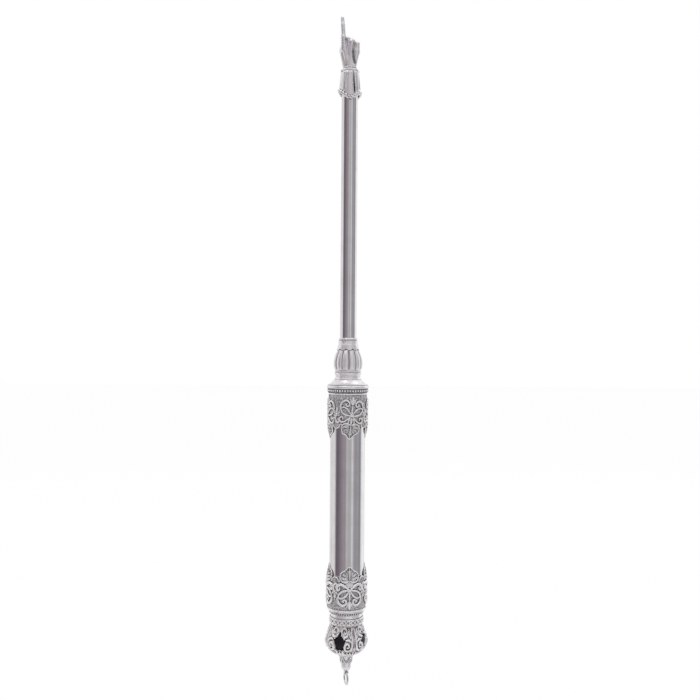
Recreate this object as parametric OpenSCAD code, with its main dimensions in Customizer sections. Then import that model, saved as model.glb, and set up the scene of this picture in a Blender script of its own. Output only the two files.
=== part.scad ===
// Torah pointer: a hand on a slim shaft, a gadrooned bulb, a round handle between
// two ornamented collars, and an openwork crown with a finial and a hanging ring.
// The shaft axis is Z, the pointing finger is up, and the origin is the handle's middle.

/* [Handle] */
// Outer radius of the plain handle tube
handle_r = 6.9; // [5.7:0.1:8.6]
// Length of the handle tube, end to end
handle_len = 86; // [64:0.5:120]
// Wall of the handle tube
handle_wall = 0.5; // [0.3:0.05:0.8]

/* [Collars] */
// Sheet thickness of each collar
collar_wall = 0.5; // [0.3:0.05:0.8]
// Gap between the handle tube and the collar sheet
collar_gap = 0.25; // [0.1:0.05:0.5]
// How far each collar's rim sits in from the end of the handle tube
collar_inset = 0.8; // [0.4:0.1:1.5]
// Height of the collar sheet from its rim to the notches of its edge
sheet_h = 11.2; // [10:0.1:15]
// Distance from the collar's rim to the knot of its ornament
knot_drop = 8; // [7.6:0.1:9]
// Height of the applied ornament over the sheet
relief = 0.65; // [0.3:0.05:1]
// Turn of the upper collar about the shaft
upper_turn = 12; // [0:1:89]
// Turn of the lower collar about the shaft
lower_turn = 9; // [0:1:89]
// Lean of the upper collar's ornament
upper_lean = 5; // [-8:0.5:8]

/* [Shoulder] */
// Height of the bead on each rim's edge
bead_depth = 0.35; // [0.2:0.05:0.5]
// Number of beads in the upper bead row
bead_count = 44; // [30:1:60]
// How far the upper rim stands out past the collar
rim_overhang = 0.75; // [0.5:0.05:2]
// Thickness of the upper rim
rim_h = 1.4; // [1:0.1:2.5]
// Height of the flared cap
cap_h = 2.2; // [1.6:0.1:4]
// Radius of the neck on top of the flared cap
neck_r = 5.1; // [4.4:0.1:6]
// Height of the neck collar
neck_h = 3; // [2:0.1:5]

/* [Bulb] */
// Largest radius of the gadrooned bulb
bulb_r = 5.75; // [5.3:0.05:7]
// Height of the gadrooned bulb
bulb_h = 9; // [7:0.1:13]
// Number of lobes around the bulb
lobe_count = 12; // [8:1:16]
// Height of the calyx cup over the bulb
calyx_h = 3.5; // [2.5:0.1:5]

/* [Shaft] */
// Outer radius of the shaft tube
shaft_r = 3.25; // [2.7:0.05:3.9]
// Wall of the shaft tube
shaft_wall = 0.5; // [0.3:0.05:0.7]
// Length of the shaft tube
shaft_len = 109.6; // [70:0.2:150]

/* [Hand and sleeve] */
// Length of the hand from the wrist to the fingertip
hand_len = 20.3; // [17:0.1:25]
// Height of the sleeve cuff at its sides
cuff_h = 6.95; // [5.5:0.05:10]
// How far the hem dips at the front and the back
hem_dip = 2.9; // [0.5:0.1:3.5]
// Tilt of the hem from left to right
hem_tilt = 7; // [0:1:12]
// Flare of the cuff from its top to its hem
cuff_flare = 0.65; // [0.3:0.05:1.2]
// Radius of the rope around the hem
rope_r = 0.7; // [0.4:0.05:0.9]

/* [Crown] */
// How far the crown swells past the top of its own wall
crown_bulge = 2; // [1:0.1:3.5]
// Height of the crown
crown_h = 12.4; // [10:0.1:16]
// Wall of the crown
crown_wall = 0.9; // [0.7:0.05:1.2]
// Turn of the crown's windows about the shaft
crown_turn = 21; // [0:1:89]
// How far the band that carries the crown is set in from the handle tube
band_inset = 0.2; // [0:0.05:0.7]
// Height of the band
band_h = 4.1; // [3.8:0.1:6]

/* [Finial and ring] */
// How far the acorn stands out past its tenon
acorn_lip = 0.1; // [0.05:0.05:0.6]
// Wire radius of the hanging ring
wire_r = 0.4; // [0.3:0.02:0.5]
// Clearance around the ring's wire in its eye
eye_gap = 0.2; // [0.12:0.01:0.3]
// Radius of the hanging ring, to the middle of its wire
ring_r = 2.35; // [2:0.05:3]
// Turn of the hanging ring about the shaft
ring_turn = 16; // [0:1:90]

/* [Tie rod] */
// Radius of the threaded rod that clamps the handle together
rod_r = 1.5; // [1.2:0.05:1.8]

/* [Hidden] */
$fn = 64;

// Radial clearance between pieces that slide together before they are soldered or clamped
slip = 0.03;
// Slack that makes a cutting shape pass right through
over = 1;

// Radii of the finial
eye_r = wire_r + eye_gap;
tenon_r = rod_r + 0.5;
acorn_r = tenon_r + acorn_lip;

// Heights of the upper stack, from the handle tube's end to the fingertip
handle_top = handle_len / 2;
flange_h = 0.6;
collar_rim_z = handle_top - collar_inset;
bead_ring_z = handle_top + 0.2;
bead_ring_h = 1.4;
rim_z = bead_ring_z + bead_ring_h;
cap_z = rim_z + rim_h;
neck_z = cap_z + cap_h;
bulb_z = neck_z + neck_h;
shaft_z = bulb_z + bulb_h;
calyx_z = shaft_z + 0.1;
foot_ring_z = calyx_z + calyx_h;
foot_ring_h = 1;
shaft_top = shaft_z + shaft_len;
bush_flange_h = 0.4;
cuff_plate_z = shaft_top + bush_flange_h;
cuff_plate_h = 0.5;
cuff_top = cuff_plate_z + cuff_plate_h;
lower_frill_h = 1.3;
upper_frill_h = 1;
wrist_z = cuff_top + lower_frill_h + upper_frill_h;

// Heights of the lower stack, down to the hanging ring
lower_rim_h = 0.8;
lower_bead_z = -handle_top;
lower_bead_h = 1.4;
band_z = lower_bead_z - lower_bead_h;
crown_z = band_z - band_h;
cup_z = crown_z - crown_h;
cup_h = 1.1;
leaves_z = cup_z - cup_h;
leaves_h = 2.6;
acorn_z = leaves_z - leaves_h;
acorn_h = 3.4;
eye_drop = eye_r + 0.2;
eye_z = acorn_z - acorn_h - eye_drop;

// Radii that follow from their neighbours
handle_bore = handle_r - handle_wall;
collar_bore = handle_r + collar_gap;
collar_r = collar_bore + collar_wall;
rim_r = collar_r + rim_overhang;
band_r = handle_r - band_inset;
shaft_bore = shaft_r - shaft_wall;
ferrule_r = shaft_bore - slip;
tap_r = rod_r + slip;
tang_r = 1.6;
wrist_r = 2.6;

// Hem of the sleeve: a cylinder across the cuff cuts it, so that it dips in front and behind
cuff_wall = 0.4;
cuff_r = shaft_r + slip + cuff_wall;
hem_r = cuff_r + cuff_flare;
hem_z = cuff_top - cuff_h;
hem_cut_r = (hem_r * hem_r + hem_dip * hem_dip) / (2 * hem_dip);
rope_gap = 0.06;
ROPE_RINGS = 60;
ROPE_SIDES = 8;

// ---- shared shapes ----

// Plain ring on the axis, from z up
module washer_ring(r_in, r_out, z, h) {
    translate([0, 0, z])
        difference() {
            cylinder(r = r_out, h = h);
            translate([0, 0, -over]) cylinder(r = r_in, h = h + 2 * over);
        }
}

// Ring with a half-round outer edge
module round_ring(r_in, r_out, z, h) {
    translate([0, 0, z])
        rotate_extrude()
            polygon(concat([[r_in, 0]],
                [for (a = [-90:15:90]) [max(r_in, r_out - h / 2 + h / 2 * cos(a)),
                    h / 2 + h / 2 * sin(a)]],
                [[r_in, h]]));
}

// Ring whose half-round edge is notched into a row of beads
module bead_row(r_in, r_out, z, h, count) {
    notch_w = 0.3;
    difference() {
        round_ring(r_in, r_out, z, h);
        for (i = [0:count - 1])
            rotate([0, 0, i * 360 / count])
                translate([r_out - bead_depth, -notch_w / 2, z - over])
                    cube([over, notch_w, h + 2 * over]);
    }
}

// Extrudes a flat front view (x, z) towards -Y, between two distances from the axis
module radial(near, far) {
    rotate([90, 0, 0]) translate([0, 0, near]) linear_extrude(height = far - near) children();
}

// Flat wire hoop
module hoop(r, w) {
    difference() {
        circle(r = r);
        circle(r = r - w);
    }
}

// ---- hand and sleeve ----

module finger(points, radii) {
    hull()
        for (i = [0:len(points) - 1])
            translate(points[i]) sphere(r = radii[i], $fn = 24);
}

// A right fist with its index finger out, seen from the back of the hand on the -Y side.
module pointing_hand() {
    fist_h = 10.2;
    tip_r = 0.7;
    index_x = -3;
    color("gainsboro") {
        translate([0, 0, wrist_z]) {
            hull() {
                cylinder(r = wrist_r, h = 1.2, $fn = 32);
                translate([-2.6, -0.9, fist_h - 0.4]) sphere(r = 1.1, $fn = 24);
                translate([2.3, -0.7, fist_h - 1.4]) sphere(r = 1.1, $fn = 24);
                translate([-2.4, 0.6, fist_h - 3]) sphere(r = 1.4, $fn = 24);
                translate([2.1, 0.6, fist_h - 3.4]) sphere(r = 1.4, $fn = 24);
            }
            finger([[index_x + 0.1, -0.8, fist_h - 0.2], [index_x - 0.1, -0.6, hand_len - tip_r]],
                [1.1, tip_r]);
            for (i = [0:2])
                let (x = -0.9 + 1.8 * i, top = fist_h - 0.1 - 0.55 * i)
                    finger([[x, -0.9, top], [x, 2, top + 0.1], [x, 2.1, top - 3.4]],
                        [1.05, 1, 0.9]);
            finger([[-2.6, 0.8, 3.6], [-3.3, 1.6, 6.6]], [1.3, 1]);
            finger([[-3.3, 1.6, 6.6], [-1, 3.2, 7.6]], [1, 0.8]);
        }
        translate([0, 0, cuff_top - 5]) cylinder(r = tang_r, h = wrist_z - cuff_top + 6);
    }
}

module upper_frill() {
    color("silver") round_ring(tang_r + slip, wrist_r + 0.1, cuff_top + lower_frill_h,
        upper_frill_h);
}

module lower_frill() {
    color("silver") round_ring(tang_r + slip, cuff_r - 0.35, cuff_top, lower_frill_h);
}

// Hem height at a point of the cuff
function hem_at(x, y) = hem_z - x * tan(hem_tilt)
    - (hem_cut_r - sqrt(hem_cut_r * hem_cut_r - y * y)) / cos(hem_tilt);

module sleeve_cuff() {
    reach = cuff_h + hem_dip + over;
    widen = cuff_flare * reach / (cuff_h + hem_dip);
    bore = shaft_r + slip;
    color("silver")
        difference() {
            translate([0, 0, cuff_top - reach]) cylinder(r1 = cuff_r + widen, r2 = cuff_r, h = reach);
            translate([0, 0, cuff_top - reach])
                cylinder(r1 = bore + widen, r2 = bore, h = reach - cuff_plate_h);
            translate([0, 0, cuff_top - over]) cylinder(r = tang_r + slip, h = 2 * over);
            translate([0, 0, hem_z - hem_cut_r / cos(hem_tilt)])
                rotate([0, 90 + hem_tilt, 0])
                    cylinder(r = hem_cut_r, h = 6 * hem_r, center = true);
            translate([0, 0, hem_z - 3 * hem_cut_r])
                cube([6 * hem_r, 2.2 * hem_cut_r, 4 * hem_cut_r], center = true);
        }
}

// A round rope just under the hem's outer edge, one ring of points for each step around it
module hem_rope() {
    path_r = hem_r - cuff_wall / 2;
    points = [
        for (i = [0:ROPE_RINGS - 1], j = [0:ROPE_SIDES - 1])
            let (a = i * 360 / ROPE_RINGS, b = j * 360 / ROPE_SIDES,
                x = path_r * cos(a), y = path_r * sin(a), out = rope_r * cos(b))
                [x + out * cos(a), y + out * sin(a),
                    hem_at(hem_r * cos(a), hem_r * sin(a)) - rope_r - rope_gap + rope_r * sin(b)]
    ];
    faces = [
        for (i = [0:ROPE_RINGS - 1], j = [0:ROPE_SIDES - 1])
            let (ni = (i + 1) % ROPE_RINGS, nj = (j + 1) % ROPE_SIDES)
                [i * ROPE_SIDES + j, i * ROPE_SIDES + nj,
                    ni * ROPE_SIDES + nj, ni * ROPE_SIDES + j]
    ];
    color("gainsboro") polyhedron(points = points, faces = faces);
}

// ---- shaft ----

// Flanged plug in the top of the shaft, bored for the hand's tang
module shaft_bush() {
    color("darkgray")
        difference() {
            union() {
                translate([0, 0, shaft_top - 6]) cylinder(r = shaft_bore - slip, h = 6 + over / 10);
                translate([0, 0, shaft_top]) cylinder(r = shaft_r, h = bush_flange_h);
            }
            translate([0, 0, shaft_top - 6 - over]) cylinder(r = tang_r + slip, h = 6 + 3 * over);
        }
}

module shaft_tube() {
    color("lightgray") washer_ring(shaft_bore, shaft_r, shaft_z, shaft_len);
}

module shaft_foot_ring() {
    color("gainsboro") round_ring(shaft_r + slip, shaft_r + 0.5, foot_ring_z, foot_ring_h);
}

module calyx_cup() {
    hem = shaft_r + 1.25;
    color("silver")
        translate([0, 0, calyx_z])
            difference() {
                cylinder(r1 = hem, r2 = shaft_r + 0.4, h = calyx_h);
                translate([0, 0, -over]) cylinder(r = shaft_r + slip, h = calyx_h + 2 * over);
            }
}

// ---- bulb and shoulder ----

bulb_top_r = shaft_r + 0.85;
bulb_foot_r = neck_r - 0.1;
belly = 0.36;

// Radius of the bulb at a share t of its height, widest at the belly
function bulb_at(t) = t < belly
    ? bulb_r - (bulb_r - bulb_foot_r) * pow((belly - t) / belly, 2)
    : bulb_r - (bulb_r - bulb_top_r) * pow((t - belly) / (1 - belly), 2);

module bulb_solid(shrink) {
    steps = 12;
    translate([0, 0, bulb_z])
        rotate_extrude()
            polygon(concat([[0, 0]],
                [for (i = [0:steps]) [bulb_at(i / steps) - shrink, bulb_h * i / steps]],
                [[0, bulb_h]]));
}

module gadrooned_bulb() {
    groove = 0.35;
    plate = 0.8;
    color("silver")
        difference() {
            bulb_solid(0);
            difference() {
                for (i = [0:lobe_count - 1])
                    rotate([0, 0, (i + 0.5) * 360 / lobe_count])
                        translate([0, -groove / 2, bulb_z + plate])
                            cube([bulb_r + over, groove, bulb_h - 2 * plate]);
                bulb_solid(groove);
            }
            translate([0, 0, bulb_z + plate])
                cylinder(r = bulb_top_r - 0.8, h = bulb_h - 2 * plate);
            translate([0, 0, bulb_z - over]) cylinder(r = ferrule_r + slip, h = bulb_h + 2 * over);
        }
}

// Post soldered into the foot of the shaft and tapped for the tie rod
module shaft_ferrule() {
    low = neck_z + 0.8;
    high = shaft_z + 12;
    color("darkgray")
        difference() {
            translate([0, 0, low]) cylinder(r = ferrule_r, h = high - low);
            translate([0, 0, low - over]) cylinder(r = tap_r, h = shaft_z - low);
        }
}

module neck_collar() {
    groove_h = 0.8;
    flange = 1.2;
    color("silver")
        translate([0, 0, neck_z])
            difference() {
                union() {
                    cylinder(r = neck_r, h = neck_h - groove_h);
                    translate([0, 0, neck_h - groove_h - flange])
                        cylinder(r = neck_r + 0.35, h = flange);
                    cylinder(r = neck_r - 0.1, h = neck_h);
                }
                translate([0, 0, -over]) cylinder(r = ferrule_r + slip, h = neck_h + 2 * over);
            }
}

cap_r = rim_r - 0.5;

// Hollow cap that flares from the neck out to the rim
module flared_cap() {
    plate = 0.6;
    wall = 0.6;
    color("silver")
        translate([0, 0, cap_z])
            difference() {
                rotate_extrude()
                    difference() {
                        square([cap_r, cap_h]);
                        translate([cap_r + 0.4, cap_h + 0.1]) circle(r = min(cap_h, cap_r - neck_r));
                        translate([neck_r, cap_h - 0.5]) square([cap_r, over]);
                    }
                translate([0, 0, -over]) cylinder(r = neck_r - wall, h = cap_h - plate + over);
                translate([0, 0, -over]) cylinder(r = ferrule_r + slip, h = cap_h + 2 * over);
            }
}

module upper_rim() {
    color("gainsboro") round_ring(neck_r - 0.6, rim_r, rim_z, rim_h);
}

module upper_bead_ring() {
    color("gainsboro")
        bead_row(handle_r + slip, rim_r - 0.05, bead_ring_z, bead_ring_h, bead_count);
}

module upper_thin_ring() {
    color("gainsboro")
        round_ring(handle_r + slip, collar_r + 0.15, collar_rim_z, bead_ring_z - collar_rim_z);
}

// ---- handle ----

module handle_tube() {
    color("lightgray") washer_ring(handle_bore, handle_r, -handle_top, handle_len);
}

// Flanged plug in the top end of the handle tube
module end_disc() {
    plug_h = 2;
    difference() {
        union() {
            translate([0, 0, handle_top - plug_h]) cylinder(r = handle_bore - slip, h = plug_h + 0.1);
            translate([0, 0, handle_top]) cylinder(r = handle_r, h = flange_h);
        }
        translate([0, 0, handle_top - plug_h - over])
            cylinder(r = rod_r + slip, h = plug_h + flange_h + 2 * over);
    }
}

module upper_end_disc() {
    color("darkgray") end_disc();
}

module lower_end_disc() {
    color("darkgray") mirror([0, 0, 1]) end_disc();
}

// Outline of one tab of the collar, with the knot of its ornament at the origin
lobe_x = 1.85;
lobe_y = -5.3;
lobe_r = 1.9;
tip_y = -9.2;

function arc(x, y, r, start, end, steps) = [
    for (i = [0:steps])
        let (a = start + (end - start) * i / steps) [x + r * cos(a), y + r * sin(a)]
];

module tab_outline() {
    r = lobe_r + 0.15;
    polygon(concat([[lobe_x + r, lobe_y + 4]],
        arc(lobe_x, lobe_y, r, 0, -100, 7), arc(0, tip_y + 0.9, 0.9, -10, -170, 7),
        arc(-lobe_x, lobe_y, r, -80, -180, 7), [[-lobe_x - r, lobe_y + 4]]));
}

// Sheet ring of a collar, hanging from its rim at z = 0, with four tabs and four small lobes
module collar(lean) {
    depth = knot_drop - tip_y + over;
    intersection() {
        washer_ring(collar_bore, collar_r, -depth, depth);
        union() {
            translate([-2 * collar_r, -2 * collar_r, -sheet_h])
                cube([4 * collar_r, 4 * collar_r, sheet_h + over]);
            for (k = [0:3])
                rotate([0, 0, 90 * k]) {
                    radial(0.7 * handle_r, collar_r + over)
                        translate([0, -knot_drop]) rotate(-lean) tab_outline();
                    rotate([0, 0, 45]) radial(0.9 * handle_r, collar_r + over)
                        translate([0, -sheet_h]) polygon(arc(0, 0, 1.7, 20, -200, 9));
                }
        }
    }
}

// Front view of the scrolled ornament, with its knot at the origin
module ornament() {
    wire = 0.5;
    translate([-wire / 2, tip_y + 0.6]) square([wire, 6.2 - tip_y]);
    circle(r = 0.8);
    translate([0, 6.4]) circle(r = 0.8);
    translate([0, -2.8]) circle(r = 0.8);
    translate([0, tip_y + 0.8]) circle(r = 0.8);
    for (side = [-1, 1]) {
        translate([side * 2.5, 4.2]) hoop(1.75, wire);
        translate([side * 1.9, 1.3]) hoop(1.5, wire);
        translate([side * 2.5, -1.8]) hoop(1.4, wire);
        translate([side * lobe_x, lobe_y]) hoop(lobe_r, wire);
        translate([side * lobe_x, lobe_y]) circle(r = 0.8);
        translate([side * 0.9, 5.6]) circle(r = 0.5);
        rotate(90 - side * 58) translate([0, -wire / 2]) square([2.2, wire]);
        rotate(90 - side * 126) translate([0, -wire / 2]) square([2.2, wire]);
        translate([side * lobe_x / 2, lobe_y]) square([lobe_x, wire], center = true);
    }
}

// Front view of the small sprig between two ornaments
module sprig() {
    translate([-0.25, -2.6]) square([0.5, 5.2]);
    translate([0, 2.4]) circle(r = 0.6);
    for (side = [-1, 1])
        translate([side * 0.7, -0.2]) hoop(0.95, 0.45);
    translate([0, -2.2]) circle(r = 0.7);
}

// Four copies of a front view, laid on a collar's sheet at the knot's height
module applied(start) {
    depth = knot_drop - tip_y + over;
    intersection() {
        washer_ring(collar_r + slip, collar_r + relief, -depth, depth);
        for (k = [0:3])
            rotate([0, 0, start + 90 * k])
                radial(0.7 * handle_r, collar_r + relief + over)
                    translate([0, -knot_drop]) children();
    }
}

module upper_place() {
    translate([0, 0, collar_rim_z]) rotate([0, 0, upper_turn]) children();
}

module lower_place() {
    translate([0, 0, -collar_rim_z]) rotate([0, 0, lower_turn]) mirror([0, 0, 1]) children();
}

module upper_collar() {
    color("darkgray") upper_place() collar(upper_lean);
}

module upper_ornaments() {
    color("gainsboro") upper_place() applied(0) rotate(-upper_lean) ornament();
}

module upper_sprigs() {
    color("gainsboro") upper_place() applied(45) sprig();
}

module lower_collar() {
    color("darkgray") lower_place() collar(0);
}

module lower_ornaments() {
    color("gainsboro") lower_place() applied(0) ornament();
}

module lower_sprigs() {
    color("gainsboro") lower_place() applied(45) sprig();
}

// ---- crown ----

// Rim of the lower collar, with a step that closes over the end disc's flange
module lower_rim() {
    color("gainsboro") {
        round_ring(handle_r + slip, collar_r + 0.25, -collar_rim_z - lower_rim_h, lower_rim_h);
        washer_ring(handle_r + slip, handle_r + 0.3, lower_bead_z - flange_h, flange_h);
    }
}

lower_bead_count = 42;

module lower_bead_ring() {
    color("gainsboro")
        bead_row(band_r - 2, band_r + 0.2, band_z, lower_bead_h - flange_h, lower_bead_count);
}

// Hollow turned band: a recess at the top, then a plain field between two rims
module crown_band() {
    field_h = 2.4;
    edge_h = 0.4;
    bore = rod_r + 3.2;
    color("silver")
        translate([0, 0, crown_z])
            difference() {
                union() {
                    cylinder(r = band_r - 0.4, h = band_h);
                    cylinder(r = band_r + 0.1, h = edge_h);
                    translate([0, 0, field_h - edge_h]) cylinder(r = band_r + 0.1, h = edge_h);
                    cylinder(r = band_r - 0.2, h = field_h);
                }
                translate([0, 0, -over]) cylinder(r = bore, h = band_h + 2 * over);
            }
}

// Row of small hoops laid in the field of the band
module band_frieze() {
    count = 14;
    color("gainsboro")
        intersection() {
            washer_ring(band_r - 0.2 + slip, band_r + 0.1, crown_z + 0.4, 1.6);
            for (i = [0:count - 1])
                rotate([0, 0, i * 360 / count])
                    radial(band_r - over, band_r + over)
                        translate([0, crown_z + 1.2]) hoop(0.78, 0.3);
        }
}

// Radius of the crown at a drop d below its top: out in an S-curve, then round to its foot
crown_top_r = band_r - 0.2;
crown_r = crown_top_r + crown_bulge;
crown_foot_r = 3.4;
crown_belly = 0.54 * crown_h;
crown_floor_h = 1.2;
core_gap = 0.25;

function crown_at(d) = d < crown_belly
    ? crown_top_r + (crown_r - crown_top_r) * (1 - cos(180 * d / crown_belly)) / 2
    : crown_foot_r + (crown_r - crown_foot_r)
        * sqrt(max(0, 1 - pow((d - crown_belly) / (crown_h - crown_belly), 2)));

module crown_solid(shrink, lid) {
    steps = 20;
    low = crown_h - lid;
    translate([0, 0, crown_z])
        rotate_extrude()
            polygon(concat([[0, 0]],
                [for (i = [0:steps]) [max(rod_r + 1, crown_at(low * i / steps) - shrink),
                    -low * i / steps]],
                [[0, -low]]));
}

// Front view of one window: a pointed oval with a notch at each side
module window() {
    circle(r = 2.3);
    rotate(45) square(3.4, center = true);
    translate([0, 1.9]) rotate(45) square(1.9, center = true);
}

module crown_cage() {
    color("silver")
        difference() {
            crown_solid(0, 0);
            translate([0, 0, over / 10]) crown_solid(crown_wall, crown_floor_h);
            for (k = [0:3])
                rotate([0, 0, crown_turn + 45 + 90 * k])
                    radial(crown_foot_r, crown_r + over)
                        translate([0, crown_z - crown_belly + 0.8]) window();
            translate([0, 0, cup_z - over]) cylinder(r = rod_r + slip, h = crown_h + over);
        }
}

// Dark body that fills the crown behind its windows
module crown_core() {
    color([0.16, 0.16, 0.19])
        difference() {
            translate([0, 0, -slip]) crown_solid(crown_wall + core_gap, crown_floor_h + core_gap);
            translate([0, 0, cup_z - over]) cylinder(r = rod_r + slip, h = crown_h + 2 * over);
        }
}

// ---- finial and ring ----

module finial_cup() {
    color("silver")
        difference() {
            union() {
                translate([0, 0, leaves_z]) cylinder(r1 = 2.9, r2 = crown_foot_r, h = cup_h);
                round_ring(tenon_r, 3.2, leaves_z, 0.5);
            }
            translate([0, 0, leaves_z - over]) cylinder(r = rod_r + slip, h = cup_h + 2 * over);
        }
}

module finial_leaves() {
    color("silver")
        translate([0, 0, acorn_z])
            difference() {
                cylinder(r1 = tenon_r + 0.35, r2 = tenon_r + 0.85, h = leaves_h);
                translate([0, 0, -over]) cylinder(r = tenon_r + slip, h = leaves_h + 2 * over);
            }
}

// Acorn with a tenon above it, tapped for the tie rod, and a flat eye below it
module finial_acorn() {
    eye_wall = 0.35;
    eye_t = 1.1;
    round_h = 1.5;
    color("silver")
        difference() {
            union() {
                translate([0, 0, acorn_z])
                    rotate_extrude()
                        polygon(concat(
                            [[0, leaves_h], [tenon_r, leaves_h], [tenon_r, 0], [acorn_r, 0]],
                            [for (a = [0:12:60]) [acorn_r * cos(a), -round_h - acorn_r * sin(a)]],
                            [[eye_r + 0.15, -acorn_h], [0, -acorn_h]]));
                translate([0, 0, eye_z]) rotate([0, 0, ring_turn]) rotate([90, 0, 0])
                    cylinder(r = eye_r + eye_wall, h = eye_t, center = true);
            }
            translate([0, 0, eye_z]) rotate([0, 0, ring_turn]) rotate([90, 0, 0])
                cylinder(r = eye_r, h = 2 * eye_t, center = true);
            translate([0, 0, leaves_z - 1.8]) cylinder(r = tap_r, h = 1.8 + over);
        }
}

// Closed ring through the eye, hanging straight down
module hanging_ring() {
    color("gainsboro")
        translate([0, 0, eye_z - ring_r])
            rotate([0, 0, ring_turn])
                rotate([0, 90, 0])
                    rotate_extrude()
                        translate([ring_r, 0]) circle(r = wire_r);
}

// ---- tie rod ----

rod_top = shaft_z - 2;
rod_low = leaves_z - 1.6;
washer_h = 0.4;
nut_h = 2.2;
nut_r = rod_r * 2.1;

module tie_rod() {
    color("dimgray") translate([0, 0, rod_low]) cylinder(r = rod_r, h = rod_top - rod_low);
}

// One nut against each end disc
module rod_nuts() {
    base = handle_top + flange_h + washer_h;
    color("darkgray")
        for (flip = [0, 1])
            mirror([0, 0, flip])
                difference() {
                    translate([0, 0, base]) cylinder(r = nut_r, h = nut_h, $fn = 6);
                    translate([0, 0, base - over]) cylinder(r = tap_r, h = nut_h + 2 * over);
                }
}

module rod_washers() {
    color("gray")
        for (flip = [0, 1])
            mirror([0, 0, flip])
                washer_ring(tap_r, nut_r + 0.3, handle_top + flange_h, washer_h);
}

pointing_hand();
upper_frill();
lower_frill();
sleeve_cuff();
hem_rope();
shaft_bush();
shaft_tube();
shaft_foot_ring();
calyx_cup();
gadrooned_bulb();
shaft_ferrule();
neck_collar();
flared_cap();
upper_rim();
upper_bead_ring();
upper_thin_ring();
upper_collar();
upper_ornaments();
upper_sprigs();
upper_end_disc();
handle_tube();
lower_end_disc();
lower_collar();
lower_ornaments();
lower_sprigs();
lower_rim();
lower_bead_ring();
crown_band();
band_frieze();
crown_cage();
crown_core();
finial_cup();
finial_leaves();
finial_acorn();
hanging_ring();
tie_rod();
rod_nuts();
rod_washers();
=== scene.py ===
import math

import bmesh
import bpy
import numpy as np
from mathutils import Matrix, Vector

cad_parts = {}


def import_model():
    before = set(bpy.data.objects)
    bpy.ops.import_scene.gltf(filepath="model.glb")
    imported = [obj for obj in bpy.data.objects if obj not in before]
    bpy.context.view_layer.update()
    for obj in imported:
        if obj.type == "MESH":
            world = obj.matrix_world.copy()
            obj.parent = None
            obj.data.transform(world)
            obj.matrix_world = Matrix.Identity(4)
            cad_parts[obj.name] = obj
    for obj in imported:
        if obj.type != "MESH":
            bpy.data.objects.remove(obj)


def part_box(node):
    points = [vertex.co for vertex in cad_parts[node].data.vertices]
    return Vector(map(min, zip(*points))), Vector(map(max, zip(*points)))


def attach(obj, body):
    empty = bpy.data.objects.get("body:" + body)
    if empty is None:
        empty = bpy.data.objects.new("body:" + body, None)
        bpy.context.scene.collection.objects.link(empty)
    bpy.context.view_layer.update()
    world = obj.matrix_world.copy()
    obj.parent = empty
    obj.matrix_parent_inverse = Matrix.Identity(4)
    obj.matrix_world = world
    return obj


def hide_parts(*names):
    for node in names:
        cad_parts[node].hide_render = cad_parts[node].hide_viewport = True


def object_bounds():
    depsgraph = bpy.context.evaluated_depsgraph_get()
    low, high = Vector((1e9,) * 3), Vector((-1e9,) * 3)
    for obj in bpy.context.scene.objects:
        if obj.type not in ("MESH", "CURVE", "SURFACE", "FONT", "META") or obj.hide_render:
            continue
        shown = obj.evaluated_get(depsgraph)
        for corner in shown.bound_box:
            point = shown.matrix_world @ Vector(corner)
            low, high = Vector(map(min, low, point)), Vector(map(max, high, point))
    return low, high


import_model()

CAD_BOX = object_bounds()
MM = 0.001
TAU = 2 * math.pi
RNG = np.random.default_rng(7)


# ---- places, in millimetres

def full_turn(steps):
    """Evenly spaced angles once around."""
    return np.linspace(0, TAU, steps, endpoint=False)


def low(node):
    """Lowest corner of a CAD node, in millimetres."""
    return np.array(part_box(node)[0]) / MM


def high(node):
    """Highest corner of a CAD node, in millimetres."""
    return np.array(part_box(node)[1]) / MM


def reach(node):
    """Half the width of a round node."""
    return (high(node)[0] - low(node)[0]) / 2


HANDLE_R = reach("handle_tube")
SHAFT_R = reach("shaft_tube")
COLLAR_R = reach("upper_collar")
COLLAR_WALL = 0.5
RIM_TOP = high("upper_collar")[2]
RIM_LOW = low("lower_collar")[2]
KNOT_DROP = 8.0  # from a collar's rim to its ornaments' knots
SHEET_H = 11.2
UPPER_TURN, LOWER_TURN, CROWN_TURN = (math.radians(a) for a in (12, 9, 23.5))
UPPER_LEAN = math.radians(5)
WRIST_Z = high("upper_frill")[2]
CUFF_TOP = low("lower_frill")[2]


# ---- mesh tools

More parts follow.
